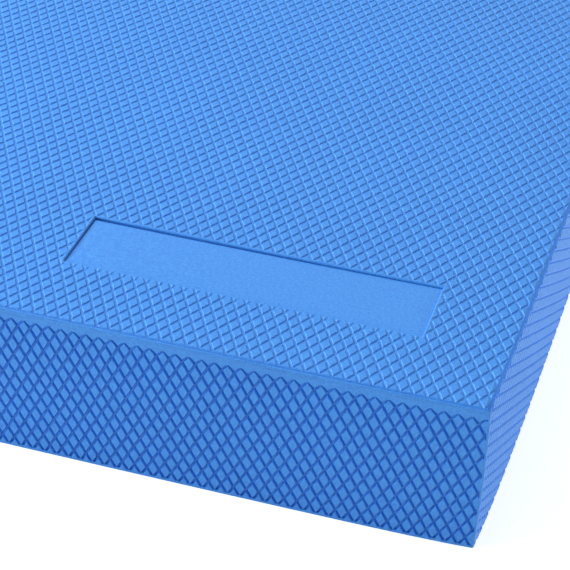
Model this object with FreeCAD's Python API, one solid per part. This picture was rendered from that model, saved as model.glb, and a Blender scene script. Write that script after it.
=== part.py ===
import FreeCAD, Part
import math
import os

# A foam balance pad: one moulded block of closed-cell foam whose outside is a denser skin.
# Frame: +Z up, origin at the middle of the underside, X along the long side.
# The front is -Y and the right is +X. All sizes are in millimetres.

# Overall size. The sides bow outwards, so length and width are taken at the middle of each side.
PAD_LENGTH = 400.0
PAD_WIDTH = 330.0
PAD_THICKNESS = 50.8
LONG_SIDE_BOW = 1.5
SHORT_SIDE_BOW = 2.3

# Rounded edges of the block.
CORNER_RADIUS = 1.3
INNER_CORNER_RADIUS = 0.4
TOP_EDGE_RADIUS = 0.4
BOTTOM_EDGE_RADIUS = 0.6

# The moulded skin. The mould parts along two lines: one round the top face and one round the underside.
# Each face rolls down into a shallow crease along its line.
SKIN_THICKNESS = 1.5
TOP_PARTING_INSET = 0.7
BOTTOM_PARTING_INSET = 1.0
CREASE_DEPTH = 0.5
CREASE_WIDTH = 1.6

# The smooth panel pressed into the top face, near the front right corner.
PANEL_LENGTH = 109.4
PANEL_WIDTH = 24.4
PANEL_DEPTH = 0.9
PANEL_RIGHT_MARGIN = 27.9
PANEL_FRONT_MARGIN = 27.4
PANEL_CORNER_RADIUS = 0.5

# Heights that several pieces share.
BOTTOM_SKIN_TOP = SKIN_THICKNESS
TOP_SKIN_UNDERSIDE = PAD_THICKNESS - SKIN_THICKNESS
PANEL_FLOOR = PAD_THICKNESS - PANEL_DEPTH
PANEL_UNDERSIDE = PANEL_FLOOR - SKIN_THICKNESS


def bow_radius(half_chord, bow):
    """The radius of a shallow arc from its half chord and its rise."""
    return (half_chord**2 + bow**2) / (2 * bow)


def corner_centre(front_centre, front_radius, right_centre, right_radius):
    """The front right point that lies at those two distances from the two side centres."""
    between = right_centre - front_centre
    gap = between.Length
    along = (front_radius**2 - right_radius**2 + gap**2) / (2 * gap)
    across = math.sqrt(front_radius**2 - along**2)
    direction = between / gap
    normal = FreeCAD.Vector(-direction.y, direction.x, 0)
    candidates = [front_centre + direction * along + normal * (across * side) for side in (1, -1)]
    return max(candidates, key=lambda point: point.x - point.y)


def arc_middle(centre, radius, end, direction):
    """The middle of an arc round centre that starts in that direction and stops at end."""
    return centre + (direction + (end - centre).normalize()).normalize() * radius


def outline(inset, height):
    """The plan outline at a height, drawn in by inset: four bowed sides and tangent corner arcs.

    It starts at the middle of the front side and runs anticlockwise, quarter by quarter.
    """
    right_middle = PAD_LENGTH / 2
    front_middle = -PAD_WIDTH / 2
    front_bow_radius = bow_radius(right_middle - SHORT_SIDE_BOW, LONG_SIDE_BOW)
    right_bow_radius = bow_radius(-front_middle - LONG_SIDE_BOW, SHORT_SIDE_BOW)
    front_centre = FreeCAD.Vector(0, front_middle + front_bow_radius, 0)
    right_centre = FreeCAD.Vector(right_middle - right_bow_radius, 0, 0)
    front_radius = front_bow_radius - inset
    right_radius = right_bow_radius - inset
    radius = max(CORNER_RADIUS - inset, INNER_CORNER_RADIUS)
    centre = corner_centre(front_centre, front_radius - radius, right_centre, right_radius - radius)
    to_front = (centre - front_centre).normalize()
    to_right = (centre - right_centre).normalize()
    on_front = front_centre + to_front * front_radius
    on_corner = centre + (to_front + to_right).normalize() * radius
    on_right = right_centre + to_right * right_radius
    quarter = [
        FreeCAD.Vector(0, front_middle + inset, 0),
        arc_middle(front_centre, front_radius, on_front, FreeCAD.Vector(0, -1, 0)),
        on_front,
        on_corner,
        on_right,
        arc_middle(right_centre, right_radius, on_right, FreeCAD.Vector(1, 0, 0)),
        FreeCAD.Vector(right_middle - inset, 0, 0),
    ]
    edges = []
    for x_sign, y_sign in ((1, 1), (1, -1), (-1, -1), (-1, 1)):
        points = [FreeCAD.Vector(point.x * x_sign, point.y * y_sign, height) for point in quarter]
        if x_sign != y_sign:
            points.reverse()
        edges += [Part.Arc(*points[start : start + 3]).toShape() for start in (0, 2, 4)]
    return Part.Wire(edges)


def bowed_block(inset, low, high):
    """An upright block with the outline drawn in by inset, between two heights."""
    return Part.Face(outline(inset, low)).extrude(FreeCAD.Vector(0, 0, high - low))


def creased_plate(*sections):
    """A skin plate through the outlines at several levels, each given as (inset, height)."""
    return Part.makeLoft([outline(inset, height) for inset, height in sections], True, True)


def edges_at_height(solid, height):
    """The edges that lie in the horizontal plane at that height."""
    tolerance = 1e-6
    return [
        edge
        for edge in solid.Edges
        if abs(edge.BoundBox.ZMin - height) < tolerance and abs(edge.BoundBox.ZMax - height) < tolerance
    ]


def panel_block(low, high):
    """A block with the panel's plan outline, between two heights."""
    right = PAD_LENGTH / 2 - PANEL_RIGHT_MARGIN
    front = -PAD_WIDTH / 2 + PANEL_FRONT_MARGIN
    place = FreeCAD.Vector(right - PANEL_LENGTH, front, low)
    block = Part.makeBox(PANEL_LENGTH, PANEL_WIDTH, high - low, place)
    upright = [edge for edge in block.Edges if edge.BoundBox.ZLength > (high - low) / 2]
    return block.makeFillet(PANEL_CORNER_RADIUS, upright)


def envelope():
    """The outside of the whole pad: a rolled top edge and a tighter bottom edge."""
    block = bowed_block(0, 0, PAD_THICKNESS)
    block = block.makeFillet(TOP_EDGE_RADIUS, edges_at_height(block, PAD_THICKNESS))
    return block.makeFillet(BOTTOM_EDGE_RADIUS, edges_at_height(block, 0))


def core_block():
    """The foam inside the skin, before the panel is pressed in."""
    return bowed_block(SKIN_THICKNESS, BOTTOM_SKIN_TOP, TOP_SKIN_UNDERSIDE)


def foam_core():
    """The soft foam inside the skin, with a shallow pocket under the pressed panel."""
    return core_block().cut(panel_block(PANEL_UNDERSIDE, TOP_SKIN_UNDERSIDE))


def top_skin():
    """The top face inside the parting line, open where the panel is pressed in."""
    skin = creased_plate(
        (TOP_PARTING_INSET, TOP_SKIN_UNDERSIDE),
        (TOP_PARTING_INSET, PAD_THICKNESS - CREASE_DEPTH),
        (TOP_PARTING_INSET + CREASE_WIDTH, PAD_THICKNESS),
    )
    return skin.cut(panel_block(TOP_SKIN_UNDERSIDE, PAD_THICKNESS))


def panel_skin():
    """The smooth floor of the panel, pressed below the top face."""
    return panel_block(PANEL_UNDERSIDE, PANEL_FLOOR)


def bottom_skin():
    """The underside inside its parting line."""
    return creased_plate(
        (BOTTOM_PARTING_INSET + CREASE_WIDTH, 0),
        (BOTTOM_PARTING_INSET, CREASE_DEPTH),
        (BOTTOM_PARTING_INSET, BOTTOM_SKIN_TOP),
    )


def side_skin():
    """The walls and both rounded edges, as one closed band round the core."""
    band = envelope().cut(core_block())
    band = band.cut(bowed_block(TOP_PARTING_INSET, TOP_SKIN_UNDERSIDE, PAD_THICKNESS))
    return band.cut(bowed_block(BOTTOM_PARTING_INSET, 0, BOTTOM_SKIN_TOP))


PIECES = {
    "foam_core": foam_core,
    "top_skin": top_skin,
    "panel_skin": panel_skin,
    "side_skin": side_skin,
    "bottom_skin": bottom_skin,
}

os.makedirs("parts", exist_ok=True)
for name, make in PIECES.items():
    shape = make()
    shape.exportStep(f"parts/{name}.step")
    print(name, "solids", len(shape.Solids), "valid", shape.isValid(), "volume", round(shape.Volume, 1))
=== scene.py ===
import math

import bmesh
import bpy
import numpy as np
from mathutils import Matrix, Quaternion, Vector, geometry


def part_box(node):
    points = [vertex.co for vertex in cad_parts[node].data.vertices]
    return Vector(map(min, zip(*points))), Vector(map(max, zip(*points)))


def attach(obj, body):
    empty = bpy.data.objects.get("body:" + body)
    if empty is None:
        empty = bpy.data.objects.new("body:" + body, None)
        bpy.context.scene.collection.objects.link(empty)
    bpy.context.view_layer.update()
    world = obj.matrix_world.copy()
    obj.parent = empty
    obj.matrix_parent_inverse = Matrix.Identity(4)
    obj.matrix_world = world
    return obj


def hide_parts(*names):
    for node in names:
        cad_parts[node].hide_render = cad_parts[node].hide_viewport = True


# A one-piece moulded foam balance pad. Its skin is modelled as closed shells: the lozenge grip faces
# above and below, the walls with their rounded edges, and the smooth pressed panel.
# Meshes are worked out in millimetres as the straight shape of the mould, and then relaxed to the
# slightly bowed shape of the finished foam. The frame is in metres.
# A sheet is a mesh laid flat: p and q run along it, and its height off the flat is its z. An area on it
# is (low p, low q, high p, high q).

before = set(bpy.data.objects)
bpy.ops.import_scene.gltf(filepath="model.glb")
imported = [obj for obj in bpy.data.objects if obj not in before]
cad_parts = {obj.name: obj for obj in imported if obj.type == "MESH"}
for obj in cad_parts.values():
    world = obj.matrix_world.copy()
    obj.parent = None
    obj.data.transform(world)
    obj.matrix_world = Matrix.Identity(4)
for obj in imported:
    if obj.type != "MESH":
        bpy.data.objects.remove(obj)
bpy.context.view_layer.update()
MM = 0.001

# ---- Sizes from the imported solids, in millimetres ----


def box_mm(node):
    """The lowest and highest corner of a CAD node, in millimetres."""
    low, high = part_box(node)
    return np.array(low) / MM, np.array(high) / MM


_, side_high = box_mm("side_skin")
_, top_high = box_mm("top_skin")
_, bottom_high = box_mm("bottom_skin")
panel_low, panel_high = box_mm("panel_skin")

THICKNESS = side_high[2]
SKIN = bottom_high[2]
PANEL = (panel_low[0], panel_low[1], panel_high[0], panel_high[1])

# ---- How the foam relaxes out of the mould, in millimetres ----

# The walls bow outwards between the corners and belly half-way up. The long ones also spread at the
# foot, and the lower corners draw in. The top lies higher by its rise and by long low waves, each
# given as (height, length, direction in degrees, how far along it a crest lies).
LONG_SIDE_BOW = 1.5
SHORT_SIDE_BOW = 2.3
WALL_BELLY = 0.25
LONG_WALL_SPREAD = 0.95
PINCH = 0.9
PINCH_REACH = 14.0
TOP_RISE = 0.57
TOP_WAVES = ((0.58, 350.0, 30.0, -113.6), (0.15, 150.0, 90.0, 32.7))
STRAIGHTENING_ROUNDS = 4

# ---- Form of the moulding, in millimetres ----

# The straight outline has its corners at CORNER_X and CORNER_Y.
CORNER_X = side_high[0] - SHORT_SIDE_BOW
CORNER_Y = side_high[1] - LONG_SIDE_BOW
CORNER_RADIUS = 0.55
INNER_CORNER_RADIUS = 0.25
TOP_ROUND = 0.25
BOTTOM_ROUND = 0.3

# The creases where the mould parts, drawn in from the outline by their insets. The top one lies
# CREASE_SHIFT nearer the edge than the solids' parting line. The faces roll down to the creases over
# CREASE_ROLL, with loops of points at CREASE_ROLL_PARTS of it. The roll is less deep along the short
# sides, blended over CREASE_BLEND at the corners. The wall's own lip falls into the top crease within
# CREASE_LIP.
CREASE_SHIFT = 0.28
TOP_INSET = side_high[0] - top_high[0] - CREASE_SHIFT
BOTTOM_INSET = side_high[0] - bottom_high[0]
CREASE_DEPTH = 0.9
SHORT_CREASE_DEPTH = 0.35
CREASE_BLEND = 16.0
CREASE_ROLL = 1.1
CREASE_ROLL_PARTS = (0.75, 0.5, 0.25, 0.0)
CREASE_LIP = 0.1

# The panel: how wide its rim's edge is, how far its floor lies above the solid's, how far the floor
# swells in the middle, and the width over which it falls away to its sides.
RIM_ROUND = 0.3
FLOOR_LIFT = 0.25
FLOOR_SWELL = 0.15
FLOOR_ROLL = 3.0

# The grip pattern: lozenges between two families of V grooves. A groove is a row of (distance from its
# middle, share of depth) and starts at its full depth. A node is where grooves cross nearest the front
# right corner. The faces' node is measured in from the corner of the top crease. The pattern keeps its
# margins to the crease and the panel, and fades out at them.
LOZENGE = (3.85, 6.633)
GROOVE_DEPTH = 0.32
GROOVE = ((0.0, -1.0), (0.32, -0.85), (0.54, 0.0))
FACE_NODE = (1.66, -0.02)
FACE_MARGIN = 0.7
FACE_FADE = 0.5
PANEL_MARGIN = 0.45
PANEL_FADE = 0.9

# The walls' own lozenges stand on the long walls and lie lengthwise on the short ones. A wall's reach is
# how far it lies from the pad's middle. Its node is measured in from the crease at one end of it (1 or
# -1) and up from the top. Its pattern runs from its foot above the floor to its head above the top,
# round both edges, and its last row is drawn down into arches.
LONG_WALL = {
    "half_length": CORNER_X,
    "reach": CORNER_Y,
    "end": 1,
    "lozenge": (3.85, 6.99),
    "node": (0.53, -1.6),
    "foot": 0.9,
    "head": -1.6,
    "arch": 1.2,
    "depth": 0.8,
}
SHORT_WALL = {
    "half_length": CORNER_Y,
    "reach": CORNER_X,
    "end": -1,
    "lozenge": (6.55, 4.053),
    "node": (1.09, -0.69),
    "foot": -0.3,
    "head": 0.1,
    "arch": 0.0,
    "depth": 0.6,
}
WALL_GROOVE = ((0.0, -1.0), (0.2, -1.0), (0.5, 0.0))
WALL_FADE = 0.2
WALL_END_MARGIN = 0.02

# ---- Steps of the meshes ----

# The length of a step in millimetres, and the number of steps in one rounding.
COLUMN_STEP = 4.0
FLOOR_STEP = 1.0
CORNER_STEPS = 6
ROUND_STEPS = 5

# Points that lie closer than a weld, in millimetres, become one. A fill keeps only the triangles inside
# its loops, which is Blender's mode 1.
WELD = 1e-4
PIECE_WELD = 5 * WELD
FILL_PRECISION = WELD / 10
FILL_INSIDE = 1
SHARP_ANGLE = math.radians(24.0)

# ---- The relaxed shape ----


def bowed(x, y):
    """A point of the straight outline, moved to the outline whose sides bow outwards."""
    across = x / CORNER_X
    along = y / CORNER_Y
    return x + SHORT_SIDE_BOW * across * (1 - along**2), y + LONG_SIDE_BOW * along * (1 - across**2)


def straightened(x, y):
    """The reverse of bowed."""
    straight_x, straight_y = x, y
    for _ in range(STRAIGHTENING_ROUNDS):
        bowed_x, bowed_y = bowed(straight_x, straight_y)
        straight_x, straight_y = straight_x + x - bowed_x, straight_y + y - bowed_y
    return straight_x, straight_y


def relaxed(points):
    """Points of the straight mould, moved to where the finished foam lies."""
    x, y, z = points.T
    level = np.clip(z / THICKNESS, 0, 1)
    moved = points.copy()
    moved[:, 0], moved[:, 1] = bowed(x, y)
    belly = 4 * WALL_BELLY * level * (1 - level)
    corner_gap = np.hypot(CORNER_X - np.abs(x), CORNER_Y - np.abs(y))
    pinch = PINCH * np.exp(-corner_gap / PINCH_REACH) * (1 - level) ** 2
    moved[:, 0] += x / CORNER_X * belly - np.sign(x) * pinch
    moved[:, 1] += y / CORNER_Y * (belly + LONG_WALL_SPREAD * (1 - level)) - np.sign(y) * pinch
    rise = np.full(len(points), TOP_RISE)
    for height, length, direction, crest in TOP_WAVES:
        turn = math.radians(direction)
        distance = x * math.cos(turn) + y * math.sin(turn) - crest
        rise += height * np.cos(2 * math.pi * distance / length)
    moved[:, 2] += rise * level
    return moved


# ---- Areas and heights ----


def smooth_step(share):
    """A share from 0 to 1, eased at both ends."""
    share = np.clip(share, 0, 1)
    return share * share * (3 - 2 * share)


def grown(area, reach):
    """An area with each side moved outwards by reach."""
    low_p, low_q, high_p, high_q = area
    return low_p - reach, low_q - reach, high_p + reach, high_q + reach


def gap_inside(area, p, q):
    """How far a point is inside area; negative outside it."""
    return min(p - area[0], q - area[1], area[2] - p, area[3] - q)


def crease_height(gap, p, q):
    """The height of a face at (p, q), where it rolls down to the crease, gap away from it."""
    nearer_long = smooth_step(0.5 + (CORNER_X - abs(p) - CORNER_Y + abs(q)) / CREASE_BLEND)
    depth = SHORT_CREASE_DEPTH + (CREASE_DEPTH - SHORT_CREASE_DEPTH) * nearer_long
    return -float(depth * (1 - smooth_step(gap / CREASE_ROLL)))


# ---- Outlines ----

# Each corner of the outline: the signs of its x and y, and the angle in degrees where its arc starts.
CORNERS = ((1, -1, -90), (1, 1, 0), (-1, 1, 90), (-1, -1, 180))


def spaced(low, high, step):
    """Evenly spaced values from low to high, no further apart than step."""
    return np.linspace(low, high, max(1, math.ceil((high - low) / step)) + 1)


def wall_columns(half_length):
    """Evenly spaced places along the flat part of a wall."""
    edge = half_length - CORNER_RADIUS
    return spaced(-edge, edge, COLUMN_STEP)


def corner_arc(inset, corner):
    """The points of one rounded corner of the straight mould, with its outline drawn in by inset."""
    x_sign, y_sign, first_angle = corner
    radius = max(CORNER_RADIUS - inset, INNER_CORNER_RADIUS)
    centre_x = x_sign * (CORNER_X - inset - radius)
    centre_y = y_sign * (CORNER_Y - inset - radius)
    angles = [math.radians(first_angle + 90 * step / CORNER_STEPS) for step in range(CORNER_STEPS + 1)]
    return [(centre_x + radius * math.cos(angle), centre_y + radius * math.sin(angle)) for angle in angles]


def outline_at(inset):
    """The straight mould's outline drawn in by inset, as equally many (x, y) points for any inset."""
    points = []
    for corner in CORNERS:
        x_sign, y_sign, _ = corner
        points += corner_arc(inset, corner)
        if x_sign == y_sign:
            places = wall_columns(CORNER_X)[1:-1]
            points += [(-x_sign * place, y_sign * (CORNER_Y - inset)) for place in places]
        else:
            places = wall_columns(CORNER_Y)[1:-1]
            points += [(x_sign * (CORNER_X - inset), -y_sign * place) for place in places]
    return points


def rectangle_loop(area):
    """Evenly spaced points round an area, anticlockwise."""
    low_p, low_q, high_p, high_q = area
    along = spaced(low_p, high_p, COLUMN_STEP)
    up = spaced(low_q, high_q, COLUMN_STEP)
    return (
        [(p, low_q) for p in along[:-1]]
        + [(high_p, q) for q in up[:-1]]
        + [(p, high_q) for p in along[:0:-1]]
        + [(low_p, q) for q in up[:0:-1]]
    )


def matched_loop(area, like):
    """Points round area that pair up with rectangle_loop(like)."""
    scale_p = (area[2] - area[0]) / (like[2] - like[0])
    scale_q = (area[3] - area[1]) / (like[3] - like[1])
    return [
        (area[0] + (p - like[0]) * scale_p, area[1] + (q - like[1]) * scale_q)
        for p, q in rectangle_loop(like)
    ]


# ---- The lozenge lattice ----

# A lozenge's corners and its middle, counted in half pitches from its left corner.
LOZENGE_CORNERS = ((0, 0), (1, -1), (2, 0), (1, 1))
LOZENGE_MIDDLE = (1, 0)


def lozenge_places(area, pitch, node):
    """The left corner of every lozenge over area, counted in half pitches from node."""
    low_p, low_q, high_p, high_q = area
    half_p, half_q = pitch[0] / 2, pitch[1] / 2
    columns = range(math.floor((low_p - node[0]) / half_p) - 2, math.ceil((high_p - node[0]) / half_p) + 1)
    rows = range(math.floor((low_q - node[1]) / half_q) - 1, math.ceil((high_q - node[1]) / half_q) + 2)
    return [(column, row) for column in columns for row in rows if (column + row) % 2 == 0]


def groove_rings(places, pitch, node, groove, depth):
    """The points that line the grooves inside each lozenge, ring by ring from its edge inwards."""
    half_p, half_q = pitch[0] / 2, pitch[1] / 2
    groove_pitch = 2 * half_p * half_q / math.hypot(half_p, half_q)
    left = np.array(places, float)
    corners = np.array(LOZENGE_CORNERS, float)
    middle = np.array(LOZENGE_MIDDLE, float)
    rings = []
    for distance, height in groove[1:]:
        share = 1 - 2 * distance / groove_pitch
        spots = left[:, None, :] + middle + (corners - middle) * share
        ring = np.empty((len(places), len(corners), 3))
        ring[:, :, 0] = node[0] + spots[:, :, 0] * half_p
        ring[:, :, 1] = node[1] + spots[:, :, 1] * half_q
        ring[:, :, 2] = depth * height
        rings.append(ring)
    return np.stack(rings, axis=1).reshape(-1, 3)


def lozenge_faces(edges, first, ring_count):
    """The faces of lozenges whose corners are numbered in edges and whose rings start at number first."""
    faces = []
    sides = len(LOZENGE_CORNERS)
    for lozenge, ring in enumerate(edges):
        for level in range(ring_count):
            start = first + (lozenge * ring_count + level) * sides
            following = range(start, start + sides)
            for turn in range(sides):
                after = (turn + 1) % sides
                faces.append((ring[turn], ring[after], following[after], following[turn]))
            ring = following
        faces.append(tuple(ring))
    return faces


def lozenge_sheet(area, pitch, node, groove, depth):
    """A sheet of lozenges with V grooves over area, whose grooves cross at node."""
    places = lozenge_places(area, pitch, node)
    numbers = {}
    crossings = []

    def crossing(column, row):
        """The number of the point where grooves cross, which is added when it is first asked for."""
        if (column, row) not in numbers:
            numbers[column, row] = len(crossings)
            crossings.append((node[0] + column * pitch[0] / 2, node[1] + row * pitch[1] / 2, -depth))
        return numbers[column, row]

    edges = [[crossing(column + p, row + q) for p, q in LOZENGE_CORNERS] for column, row in places]
    rings = groove_rings(places, pitch, node, groove, depth)
    faces = lozenge_faces(edges, len(crossings), len(groove) - 1)
    mesh = bpy.data.meshes.new("lattice")
    mesh.from_pydata(np.vstack([np.array(crossings), rings]).tolist(), [], faces)
    sheet = bmesh.new()
    sheet.from_mesh(mesh)
    bpy.data.meshes.remove(mesh)
    return sheet


# ---- Working on sheets ----


def everything(sheet):
    """All vertices, edges and faces of a sheet."""
    return sheet.verts[:] + sheet.edges[:] + sheet.faces[:]


def cut(sheet, chosen, point, normal, discard):
    """Cuts what is chosen along an upright plane. What lies on the normal's side goes if discard is true."""
    result = bmesh.ops.bisect_plane(
        sheet,
        geom=chosen,
        dist=WELD,
        plane_co=(*point, 0),
        plane_no=(*normal, 0),
        clear_outer=discard,
    )
    return result["geom"]


def area_sides(area):
    """A point on each side of an area, with the direction outwards from there."""
    low_p, low_q, high_p, high_q = area
    return (
        ((low_p, low_q), (-1, 0)),
        ((low_p, low_q), (0, -1)),
        ((high_p, high_q), (1, 0)),
        ((high_p, high_q), (0, 1)),
    )


def trim_outside(sheet, area, fade):
    """Cuts the sheet to area, with a second cut one fade inside it."""
    for point, normal in area_sides(area):
        cut(sheet, everything(sheet), point, normal, True)
        inside = (point[0] - normal[0] * fade, point[1] - normal[1] * fade)
        cut(sheet, everything(sheet), inside, normal, False)


def faces_over(sheet, area):
    """The faces whose middles lie in area."""
    chosen = []
    for face in sheet.faces:
        middle = face.calc_center_median()
        if gap_inside(area, middle.x, middle.y) > 0:
            chosen.append(face)
    return chosen


def open_window(sheet, area, fade):
    """Takes area out of the sheet, with a second cut one fade outside it."""
    near = faces_over(sheet, grown(area, fade + max(LOZENGE)))
    chosen = set(near)
    for face in near:
        chosen.update(face.verts)
        chosen.update(face.edges)
    chosen = list(chosen)
    for reach in (0, fade):
        for point, normal in area_sides(grown(area, reach)):
            chosen = cut(sheet, chosen, point, normal, False)
    bmesh.ops.delete(sheet, geom=faces_over(sheet, area), context="FACES")


def fade_heights(sheet, depth_share):
    """Scales each vertex's height by depth_share(p, q)."""
    for vertex in sheet.verts:
        vertex.co.z *= depth_share(vertex.co.x, vertex.co.y)


def fill_between(sheet, loops, keep):
    """Fills up to the sheet's open edges and more closed loops with triangles, where keep(p, q) is true.

    Each loop is a list of (p, q, height). The triangles join the sheet's own vertices.
    """
    open_edges = [edge for edge in sheet.edges if len(edge.link_faces) == 1]
    border = list({vertex for edge in open_edges for vertex in edge.verts})
    number = {vertex: n for n, vertex in enumerate(border)}
    edges = [(number[edge.verts[0]], number[edge.verts[1]]) for edge in open_edges]
    for loop in loops:
        start = len(border)
        border += [sheet.verts.new(point) for point in loop]
        count = len(loop)
        edges += [(start + n, start + (n + 1) % count) for n in range(count)]
    flat = [Vector((vertex.co.x, vertex.co.y)) for vertex in border]
    filled = geometry.delaunay_2d_cdt(flat, edges, [], FILL_INSIDE, FILL_PRECISION)
    spots, _, triangles, origins, _, _ = filled
    for triangle in triangles:
        centre = sum((spots[n] for n in triangle), Vector((0, 0))) / 3
        corners = [border[origins[n][0]] for n in triangle if origins[n]]
        if len(corners) == 3 and keep(centre.x, centre.y) and sheet.faces.get(corners) is None:
            sheet.faces.new(corners)


def add_mesh(sheet, other):
    """Adds another bmesh to sheet and frees it."""
    spare = bpy.data.meshes.new("spare")
    other.to_mesh(spare)
    other.free()
    sheet.from_mesh(spare)
    bpy.data.meshes.remove(spare)


def loop_vertices(sheet, loop, height):
    """New vertices at the points of a loop, all at one height."""
    return [sheet.verts.new((p, q, height)) for p, q in loop]


def skirt(sheet, upper, lower):
    """Joins two loops of vertices with as many quads."""
    count = len(upper)
    for n in range(count):
        after = (n + 1) % count
        sheet.faces.new((upper[n], upper[after], lower[after], lower[n]))


def skirts(sheet, loops):
    """Joins each loop of vertices to the next one."""
    for upper, lower in zip(loops, loops[1:]):
        skirt(sheet, upper, lower)


def finished_piece(sheet, name, material):
    """Welds, relaxes and smooths a sheet, and links it as an object in metres."""
    bmesh.ops.remove_doubles(sheet, verts=sheet.verts, dist=PIECE_WELD)
    bmesh.ops.recalc_face_normals(sheet, faces=sheet.faces)
    mesh = bpy.data.meshes.new(name)
    sheet.to_mesh(mesh)
    sheet.free()
    points = np.empty(len(mesh.vertices) * 3)
    mesh.vertices.foreach_get("co", points)
    points = relaxed(points.reshape(-1, 3)) * MM
    mesh.vertices.foreach_set("co", points.ravel())
    mesh.update()
    mesh.shade_smooth()
    mesh.set_sharp_from_angle(angle=SHARP_ANGLE)
    mesh.materials.append(material)
    piece = bpy.data.objects.new(name, mesh)
    bpy.context.scene.collection.objects.link(piece)
    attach(piece, "root")
    return piece


# ---- The grip faces ----


def face_pattern(area, holes):
    """A face's lozenges over area, straightened, cut out at the holes and faded out at every edge."""
    node = (CORNER_X - TOP_INSET - FACE_NODE[0], -CORNER_Y + TOP_INSET + FACE_NODE[1])
    reach = (-side_high[0], -side_high[1], side_high[0], side_high[1])
    sheet = lozenge_sheet(reach, LOZENGE, node, GROOVE, GROOVE_DEPTH)
    for hole in holes:
        open_window(sheet, hole, PANEL_FADE)
    for vertex in sheet.verts:
        vertex.co.x, vertex.co.y = straightened(vertex.co.x, vertex.co.y)
    trim_outside(sheet, area, FACE_FADE)

    def shown(p, q):
        """The share of the grooves' depth that shows at a point."""
        share = smooth_step(gap_inside(area, p, q) / FACE_FADE)
        for hole in holes:
            share *= smooth_step(-gap_inside(hole, *bowed(p, q)) / PANEL_FADE)
        return share

    fade_heights(sheet, shown)
    return sheet


def fill_margins(sheet, inset, area, holes, rims):
    """Fills the plain margins round a face's pattern and between its holes and their rims."""
    first_roll = CREASE_ROLL * CREASE_ROLL_PARTS[0]
    outer = outline_at(inset + first_roll)
    loops = [[(p, q, crease_height(first_roll, p, q)) for p, q in outer]]
    loops += [[(*straightened(p, q), 0) for p, q in rectangle_loop(rim)] for rim in rims]

    def in_margin(p, q):
        """Whether a point lies in a plain margin."""
        if gap_inside(area, p, q) < 0:
            return True
        place = bowed(p, q)
        return any(gap_inside(hole, *place) > 0 > gap_inside(rim, *place) for hole, rim in zip(holes, rims))

    fill_between(sheet, loops, in_margin)


def add_face_edge(sheet, inset):
    """The last of a face's roll down to the crease, and the plate's own edge below it."""
    rings = []
    for part in CREASE_ROLL_PARTS:
        roll = CREASE_ROLL * part
        outline = outline_at(inset + roll)
        rings.append([sheet.verts.new((p, q, crease_height(roll, p, q))) for p, q in outline])
    rings.append(loop_vertices(sheet, outline_at(inset), -SKIN))
    skirts(sheet, rings)


def add_window_wall(sheet, window, rim):
    """The wall of a window through a plate, from its rim's edge down."""
    edge = [straightened(p, q) for p, q in rectangle_loop(rim)]
    wall = [straightened(p, q) for p, q in matched_loop(window, rim)]
    upper = loop_vertices(sheet, edge, 0)
    middle = loop_vertices(sheet, wall, -RIM_ROUND)
    lower = loop_vertices(sheet, wall, -SKIN)
    skirts(sheet, [upper, middle, lower])


def add_plate_back(sheet, inset, windows, rims):
    """The flat back of a face's plate, with its windows left open."""
    loops = [[(p, q, -SKIN) for p, q in outline_at(inset)]]
    for window, rim in zip(windows, rims):
        wall = [straightened(p, q) for p, q in matched_loop(window, rim)]
        loops.append([(p, q, -SKIN) for p, q in wall])
    back = bmesh.new()
    fill_between(back, loops, lambda p, q: all(gap_inside(window, *bowed(p, q)) < 0 for window in windows))
    add_mesh(sheet, back)


def grip_face(name, material, inset, height, facing, windows):
    """A closed skin plate with the lozenge pattern on the side that faces up (1) or down (-1).

    It is drawn in from the outline by inset, its outer side lies at height, and windows are the areas
    left open in it.
    """
    inner_x = CORNER_X - inset
    inner_y = CORNER_Y - inset
    area = grown((-inner_x, -inner_y, inner_x, inner_y), -FACE_MARGIN)
    holes = [grown(window, PANEL_MARGIN) for window in windows]
    rims = [grown(window, RIM_ROUND) for window in windows]
    sheet = face_pattern(area, holes)
    for vertex in sheet.verts:
        gap = min(inner_x - abs(vertex.co.x), inner_y - abs(vertex.co.y))
        vertex.co.z += crease_height(gap, vertex.co.x, vertex.co.y)
    fill_margins(sheet, inset, area, holes, rims)
    add_face_edge(sheet, inset)
    for window, rim in zip(windows, rims):
        add_window_wall(sheet, window, rim)
    add_plate_back(sheet, inset, windows, rims)
    for vertex in sheet.verts:
        vertex.co.z = height + facing * vertex.co.z
    return finished_piece(sheet, name, material)


# ---- The walls ----

# Where the rounded edges end on a wall laid flat, each a quarter turn from the wall's flat part.
WALL_LOW = BOTTOM_ROUND * (1 - math.pi / 2)
WALL_HIGH = THICKNESS - TOP_ROUND * (1 - math.pi / 2)


def wall_levels():
    """Places up a wall laid flat, from the end of its lower rounding to the end of its upper one."""
    lower = np.linspace(WALL_LOW, BOTTOM_ROUND, ROUND_STEPS + 1)
    middle = spaced(BOTTOM_ROUND, THICKNESS - TOP_ROUND, COLUMN_STEP)
    upper = np.linspace(THICKNESS - TOP_ROUND, WALL_HIGH, ROUND_STEPS + 1)
    return [*lower[:-1], *middle[:-1], *upper]


def rolled(q, height):
    """Where a point of the flat wall, q up it and height off it, lies: (outwards, height above floor)."""
    if q > THICKNESS - TOP_ROUND:
        angle = (q - THICKNESS) / TOP_ROUND + 1
        reach = TOP_ROUND + height
        return reach * math.cos(angle) - TOP_ROUND, THICKNESS - TOP_ROUND + reach * math.sin(angle)
    if q < BOTTOM_ROUND:
        angle = 1 - q / BOTTOM_ROUND
        reach = BOTTOM_ROUND + height
        return reach * math.cos(angle) - BOTTOM_ROUND, BOTTOM_ROUND - reach * math.sin(angle)
    return height, q


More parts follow.
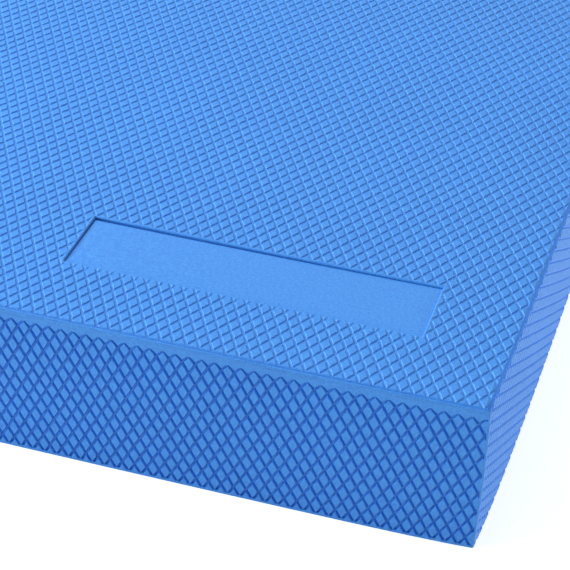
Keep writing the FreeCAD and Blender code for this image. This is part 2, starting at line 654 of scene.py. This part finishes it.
def wall_sheet(wall):
    """One wall's pattern and its margins, laid flat: p along the wall and q up it."""
    columns = wall_columns(wall["half_length"])
    levels = wall_levels()
    reach = columns[-1] - WALL_END_MARGIN
    pattern = (-reach, wall["foot"], reach, THICKNESS + wall["head"])
    inwards, up = wall["node"]
    node = (wall["end"] * (wall["half_length"] - TOP_INSET - inwards), THICKNESS + up)
    sheet = lozenge_sheet(pattern, wall["lozenge"], node, WALL_GROOVE, wall["depth"])
    trim_outside(sheet, pattern, WALL_FADE)
    half_row = wall["lozenge"][1] / 2
    for vertex in sheet.verts:
        rise = max(0.0, 1 - (pattern[3] - vertex.co.y) / half_row)
        vertex.co.y -= wall["arch"] * rise * rise
    shown = (*pattern[:3], pattern[3] - wall["arch"])
    fade_heights(sheet, lambda p, q: smooth_step(gap_inside(shown, p, q) / WALL_FADE))
    wall_loop = (
        [(p, WALL_LOW, 0) for p in columns]
        + [(columns[-1], q, 0) for q in levels[1:-1]]
        + [(p, WALL_HIGH, 0) for p in columns[::-1]]
        + [(columns[0], q, 0) for q in levels[-2:0:-1]]
    )
    fill_between(sheet, [wall_loop], lambda p, q: gap_inside(shown, p, q) < 0)
    for q in levels[1:-1]:
        if not BOTTOM_ROUND < q < THICKNESS - TOP_ROUND:
            cut(sheet, everything(sheet), (0, q), (0, 1), False)
    return sheet


def add_band_inside(sheet):
    """The band's sides at the creases and behind the skin, from the top edge round to the lower one."""
    profile = [
        (TOP_ROUND, THICKNESS),
        (TOP_INSET - CREASE_LIP, THICKNESS),
        (TOP_INSET - CREASE_LIP / 2, THICKNESS - CREASE_DEPTH / 2),
        (TOP_INSET, THICKNESS - CREASE_DEPTH),
        (TOP_INSET, THICKNESS - SKIN),
        (SKIN, THICKNESS - SKIN),
        (SKIN, SKIN),
        (BOTTOM_INSET, SKIN),
        (BOTTOM_INSET, CREASE_DEPTH),
        (BOTTOM_ROUND, 0.0),
    ]
    skirts(sheet, [loop_vertices(sheet, outline_at(inset), height) for inset, height in profile])


def add_upright_corners(sheet):
    """The four rounded corners between the walls."""
    for corner in CORNERS:
        rows = []
        for q in wall_levels():
            outwards, height = rolled(q, 0)
            rows.append(loop_vertices(sheet, corner_arc(-outwards, corner), height))
        for lower, upper in zip(rows, rows[1:]):
            for n in range(CORNER_STEPS):
                sheet.faces.new((lower[n], lower[n + 1], upper[n + 1], upper[n]))


def add_wall(sheet, wall, turn):
    """One wall, rolled round its edges and stood in its place, turn quarter turns from the front."""
    flat = wall_sheet(wall)
    angle = math.radians(90 * turn)
    cosine, sine = round(math.cos(angle)), round(math.sin(angle))
    for vertex in flat.verts:
        outwards, height = rolled(vertex.co.y, vertex.co.z)
        away = -(wall["reach"] + outwards)
        vertex.co = (vertex.co.x * cosine - away * sine, vertex.co.x * sine + away * cosine, height)
    add_mesh(sheet, flat)


def side_band(name, material):
    """The four walls, their rounded edges and the hidden inner faces, as one closed band."""
    sheet = bmesh.new()
    add_band_inside(sheet)
    add_upright_corners(sheet)
    for turn, wall in enumerate((LONG_WALL, SHORT_WALL) * 2):
        add_wall(sheet, wall, turn)
    return finished_piece(sheet, name, material)


# ---- The pressed panel ----


def panel_layer(sheet, height, swell):
    """One side of the panel's plate, higher by swell in the middle. Gives its outer loop of vertices."""
    across = spaced(PANEL[0], PANEL[2], FLOOR_STEP)
    up = spaced(PANEL[1], PANEL[3], FLOOR_STEP)
    rows = []
    for x in across:
        shares = [smooth_step(gap_inside(PANEL, x, y) / FLOOR_ROLL) for y in up]
        rows.append([sheet.verts.new((x, y, height + swell * share)) for y, share in zip(up, shares)])
    for row, following in zip(rows, rows[1:]):
        for n in range(len(up) - 1):
            sheet.faces.new((row[n], following[n], following[n + 1], row[n + 1]))
    front = [row[0] for row in rows[:-1]]
    right = rows[-1][:-1]
    back = [row[-1] for row in rows[:0:-1]]
    left = rows[0][:0:-1]
    return front + right + back + left


def panel_plate(name, material):
    """The panel's smooth floor: a thin closed plate whose top falls away towards the rim."""
    sheet = bmesh.new()
    upper = panel_layer(sheet, panel_high[2] + FLOOR_LIFT, FLOOR_SWELL)
    lower = panel_layer(sheet, panel_low[2], 0.0)
    skirt(sheet, upper, lower)
    return finished_piece(sheet, name, material)


# ---- Materials ----

FOAM_BLUE = (0.046, 0.278, 0.81)
FOAM_SPECULAR = 0.45

# Soft clouds in the blue: their size in millimetres, their detail, the values of the noise that they
# run between, and the share of the blue at each of those.
CLOUD_SIZE = 35.0
CLOUD_DETAIL = 3.0
CLOUD_VALUES = (0.3, 0.7)
CLOUD_TINTS = (0.975, 1.02)

# The fine grain: its detail, how strongly it speckles the blue, and how strong its bump is.
GRAIN_DETAIL = 2.0
GRAIN_SPECKLE = 0.5
GRAIN_BUMP = 0.6

# The drag lines below the crease, in millimetres: how wide and how long one is, how deep, and the
# height of their strip.
STREAK_SIZE = 0.5
STREAK_LENGTH = 14.0
STREAK_DEPTH = 0.5
STREAK_STRIP = 2.0

# A strength of 1 is white. The floor glows for the camera by what its light leaves short of white.
WHITE = 1.0
FLOOR_COLOUR = (0.85, 0.85, 0.85, 1.0)
FLOOR_GLOW = 0.64


def noise_texture(nodes, links, place, size, detail):
    """Noise of a size in millimetres, set out in the object's own coordinates."""
    texture = nodes.new("ShaderNodeTexNoise")
    texture.inputs["Scale"].default_value = 1 / (size * MM)
    texture.inputs["Detail"].default_value = detail
    links.new(place.outputs["Object"], texture.inputs["Vector"])
    return texture


def clouded_blue(nodes, links, clouds):
    """The foam's blue, a little darker and lighter with the clouds."""
    ramp = nodes.new("ShaderNodeValToRGB")
    for n, (value, tint) in enumerate(zip(CLOUD_VALUES, CLOUD_TINTS)):
        element = ramp.color_ramp.elements[n]
        element.position = value
        element.color = (*[channel * tint for channel in FOAM_BLUE], 1)
    links.new(clouds.outputs["Fac"], ramp.inputs["Fac"])
    return ramp


def foam_material(name, roughness, grain_height, grain_size, streaked=False):
    """Closed-cell foam skin: faint colour clouds, fine cell speckle and a fine grain bump.

    The grain's sizes are in millimetres. A streaked skin also has the fine drag lines that the mould's
    parting leaves below the crease.
    """
    material = bpy.data.materials.new(name)
    material.use_nodes = True
    nodes = material.node_tree.nodes
    links = material.node_tree.links
    shader = nodes["Principled BSDF"]
    shader.inputs["Roughness"].default_value = roughness
    shader.inputs["Specular IOR Level"].default_value = FOAM_SPECULAR
    place = nodes.new("ShaderNodeTexCoord")
    clouds = noise_texture(nodes, links, place, CLOUD_SIZE, CLOUD_DETAIL)
    grain = noise_texture(nodes, links, place, grain_size, GRAIN_DETAIL)
    blue = clouded_blue(nodes, links, clouds)
    speckle = nodes.new("ShaderNodeMix")
    speckle.data_type = "RGBA"
    speckle.blend_type = "OVERLAY"
    speckle.inputs["Factor"].default_value = GRAIN_SPECKLE
    links.new(blue.outputs["Color"], speckle.inputs["A"])
    links.new(grain.outputs["Fac"], speckle.inputs["B"])
    links.new(speckle.outputs["Result"], shader.inputs["Base Color"])
    bump = nodes.new("ShaderNodeBump")
    bump.inputs["Strength"].default_value = GRAIN_BUMP
    bump.inputs["Distance"].default_value = grain_height * MM
    links.new(grain.outputs["Fac"], bump.inputs["Height"])
    links.new(bump.outputs["Normal"], shader.inputs["Normal"])
    if streaked:
        add_streaks(nodes, links, place, bump)
    return material


def add_streaks(nodes, links, place, bump):
    """Lines along the walls in the strip below the crease, put under the grain's own bump."""
    drawn_out = nodes.new("ShaderNodeVectorMath")
    drawn_out.operation = "MULTIPLY"
    drawn_out.inputs[1].default_value = (STREAK_SIZE / STREAK_LENGTH, STREAK_SIZE / STREAK_LENGTH, 1.0)
    links.new(place.outputs["Object"], drawn_out.inputs[0])
    lines = nodes.new("ShaderNodeTexNoise")
    lines.inputs["Scale"].default_value = 1 / (STREAK_SIZE * MM)
    links.new(drawn_out.outputs["Vector"], lines.inputs["Vector"])
    height = nodes.new("ShaderNodeSeparateXYZ")
    links.new(place.outputs["Object"], height.inputs[0])
    strip = nodes.new("ShaderNodeMapRange")
    strip.inputs["From Min"].default_value = (THICKNESS - STREAK_STRIP) * MM
    strip.inputs["From Max"].default_value = (THICKNESS - STREAK_STRIP / 2) * MM
    links.new(height.outputs["Z"], strip.inputs["Value"])
    shown = nodes.new("ShaderNodeMath")
    shown.operation = "MULTIPLY"
    links.new(lines.outputs["Fac"], shown.inputs[0])
    links.new(strip.outputs["Result"], shown.inputs[1])
    streaks = nodes.new("ShaderNodeBump")
    streaks.inputs["Distance"].default_value = STREAK_DEPTH * MM
    links.new(shown.outputs[0], streaks.inputs["Height"])
    links.new(streaks.outputs["Normal"], bump.inputs["Normal"])


def floor_material():
    """A plain pale floor that is white to the camera and in reflections, and keeps the object's shadow."""
    material = bpy.data.materials.new("floor")
    material.use_nodes = True
    nodes = material.node_tree.nodes
    links = material.node_tree.links
    nodes.clear()
    surface = nodes.new("ShaderNodeOutputMaterial")
    matt = nodes.new("ShaderNodeBsdfDiffuse")
    matt.inputs["Color"].default_value = FLOOR_COLOUR
    glow = nodes.new("ShaderNodeEmission")
    path = nodes.new("ShaderNodeLightPath")
    amount = nodes.new("ShaderNodeMath")
    amount.operation = "MULTIPLY"
    amount.inputs[1].default_value = FLOOR_GLOW
    links.new(path.outputs["Is Camera Ray"], amount.inputs[0])
    links.new(amount.outputs[0], glow.inputs["Strength"])
    both = nodes.new("ShaderNodeAddShader")
    links.new(matt.outputs[0], both.inputs[0])
    links.new(glow.outputs[0], both.inputs[1])
    reflected = nodes.new("ShaderNodeEmission")
    reflected.inputs["Strength"].default_value = WHITE
    seen = nodes.new("ShaderNodeMixShader")
    links.new(path.outputs["Is Glossy Ray"], seen.inputs["Fac"])
    links.new(both.outputs[0], seen.inputs[1])
    links.new(reflected.outputs[0], seen.inputs[2])
    links.new(seen.outputs[0], surface.inputs["Surface"])
    return material


# ---- The studio, in metres ----

FLOOR_SIZE = 12.0
SKY_STRENGTH = 0.76

# The unlit room round the photographer's place: its direction, the angles where its dark heart ends and
# where the white studio begins, and its level as a light and as a reflection.
ROOM_DIRECTION = Vector((0.24, -0.77, 0.59))
ROOM_HEART = math.radians(32.0)
ROOM_EDGE = math.radians(74.0)
ROOM_SKY = 0.27
ROOM_MIRRORED = 0.05

# The low strip light that faces the right wall.
STRIP_PLACE = Vector((0.5, 0.1, 0.024))
STRIP_FACING = Vector((-1.0, 0.0, 0.0))
STRIP_LENGTH = 0.7
STRIP_HEIGHT = 0.04
STRIP_POWER = 0.8

# Softboxes round the lit point. Azimuth and elevation are in degrees: azimuth 0 is +X and 90 is +Y.
LIT_POINT = Vector((0.1, -0.06, 0.0))
SOFTBOXES = (
    {"name": "left", "azimuth": 183, "elevation": 32, "distance": 1.1, "width": 0.5, "power": 11.6},
    {"name": "left_low", "azimuth": 214, "elevation": 12, "distance": 1.5, "width": 0.6, "power": 9.6},
)

# The camera's place in millimetres, how far it stands to the right of the front, how far it looks
# down, its tilt, and its lens and sensor.
CAMERA_PLACE = Vector((255.39, -536.05, 366.79))
CAMERA_AZIMUTH = math.radians(17.29)
CAMERA_ELEVATION = math.radians(36.42)
CAMERA_ROLL = math.radians(1.14)
CAMERA_LENS = 115.4
CAMERA_SENSOR = 36.0


def studio_floor():
    """The wide flat floor that the pad lies on."""
    mesh = bpy.data.meshes.new("floor")
    half = FLOOR_SIZE / 2
    corners = [(-half, -half, 0), (half, -half, 0), (half, half, 0), (-half, half, 0)]
    mesh.from_pydata(corners, [], [(0, 1, 2, 3)])
    mesh.materials.append(floor_material())
    plane = bpy.data.objects.new("floor", mesh)
    bpy.context.scene.collection.objects.link(plane)


def room_fall(nodes, links, nearness, level, room_level):
    """A strength that falls from level to room_level towards the unlit room."""
    fall = nodes.new("ShaderNodeMapRange")
    fall.interpolation_type = "SMOOTHSTEP"
    fall.inputs["From Min"].default_value = math.cos(ROOM_EDGE)
    fall.inputs["From Max"].default_value = math.cos(ROOM_HEART)
    fall.inputs["To Min"].default_value = level
    fall.inputs["To Max"].default_value = room_level
    links.new(nearness.outputs["Value"], fall.inputs["Value"])
    return fall


def sky():
    """The studio's even light, darker towards the unlit room. The camera itself sees plain white."""
    world = bpy.data.worlds.new("studio")
    bpy.context.scene.world = world
    world.use_nodes = True
    nodes = world.node_tree.nodes
    links = world.node_tree.links
    background = nodes["Background"]
    background.inputs["Color"].default_value = (1, 1, 1, 1)
    path = nodes.new("ShaderNodeLightPath")
    place = nodes.new("ShaderNodeTexCoord")
    nearness = nodes.new("ShaderNodeVectorMath")
    nearness.operation = "DOT_PRODUCT"
    nearness.inputs[1].default_value = ROOM_DIRECTION
    links.new(place.outputs["Generated"], nearness.inputs[0])
    light = room_fall(nodes, links, nearness, SKY_STRENGTH, ROOM_SKY)
    mirrored = room_fall(nodes, links, nearness, WHITE, ROOM_MIRRORED)
    strength = nodes.new("ShaderNodeMix")
    links.new(path.outputs["Is Glossy Ray"], strength.inputs["Factor"])
    links.new(light.outputs["Result"], strength.inputs["A"])
    links.new(mirrored.outputs["Result"], strength.inputs["B"])
    seen = nodes.new("ShaderNodeMix")
    links.new(path.outputs["Is Camera Ray"], seen.inputs["Factor"])
    links.new(strength.outputs["Result"], seen.inputs["A"])
    seen.inputs["B"].default_value = WHITE
    links.new(seen.outputs["Result"], background.inputs["Strength"])


def area_light(name, shape, size, power, place, facing):
    """An area light at place that shines towards facing. Gives its data for further settings."""
    data = bpy.data.lights.new(name, "AREA")
    data.shape = shape
    data.size = size
    data.energy = power
    light = bpy.data.objects.new(name, data)
    light.location = place
    light.rotation_mode = "QUATERNION"
    light.rotation_quaternion = facing.to_track_quat("-Z", "Y")
    bpy.context.scene.collection.objects.link(light)
    return data


def low_strip():
    """A long low strip light beside the right wall, below the level of the top."""
    data = area_light("low_strip", "RECTANGLE", STRIP_LENGTH, STRIP_POWER, STRIP_PLACE, STRIP_FACING)
    data.size_y = STRIP_HEIGHT


def softbox(name, azimuth, elevation, distance, width, power):
    """A round area light that faces the lit point."""
    azimuth, elevation = math.radians(azimuth), math.radians(elevation)
    level = math.cos(elevation)
    direction = Vector((math.cos(azimuth) * level, math.sin(azimuth) * level, math.sin(elevation)))
    area_light(name, "DISK", width, power, LIT_POINT + direction * distance, -direction)


def camera():
    """A long lens close to the front right corner, looking down and a little to the left."""
    data = bpy.data.cameras.new("camera")
    data.lens = CAMERA_LENS
    data.sensor_width = CAMERA_SENSOR
    eye = bpy.data.objects.new("camera", data)
    eye.location = CAMERA_PLACE * MM
    level = math.cos(CAMERA_ELEVATION)
    back = Vector(
        (math.sin(CAMERA_AZIMUTH) * level, -math.cos(CAMERA_AZIMUTH) * level, math.sin(CAMERA_ELEVATION))
    )
    aim = (-back).to_track_quat("-Z", "Y")
    eye.rotation_mode = "QUATERNION"
    eye.rotation_quaternion = aim @ Quaternion((0, 0, 1), CAMERA_ROLL)
    bpy.context.scene.collection.objects.link(eye)
    bpy.context.scene.camera = eye


# ---- Build ----

camera()
low_strip()
for settings in SOFTBOXES:
    softbox(**settings)
sky()
studio_floor()
bpy.context.scene.view_settings.view_transform = "Standard"

skin_material = foam_material("foam_skin", roughness=0.5, grain_height=0.1, grain_size=0.55)
side_material = foam_material("side_foam", roughness=0.5, grain_height=0.1, grain_size=0.55, streaked=True)
panel_material = foam_material("panel_foam", roughness=0.42, grain_height=0.03, grain_size=0.8)
core_material = foam_material("core_foam", roughness=0.7, grain_height=0.15, grain_size=1.2)

top_piece = grip_face("top_grip", skin_material, TOP_INSET, THICKNESS, 1, [PANEL])
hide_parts("top_skin")
bottom_piece = grip_face("bottom_grip", skin_material, BOTTOM_INSET, 0.0, -1, [])
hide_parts("bottom_skin")
side_piece = side_band("side_grip", side_material)
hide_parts("side_skin")
panel_piece = panel_plate("pressed_panel", panel_material)
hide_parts("panel_skin")

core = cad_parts["foam_core"]
core.data.materials.clear()
core.data.materials.append(core_material)
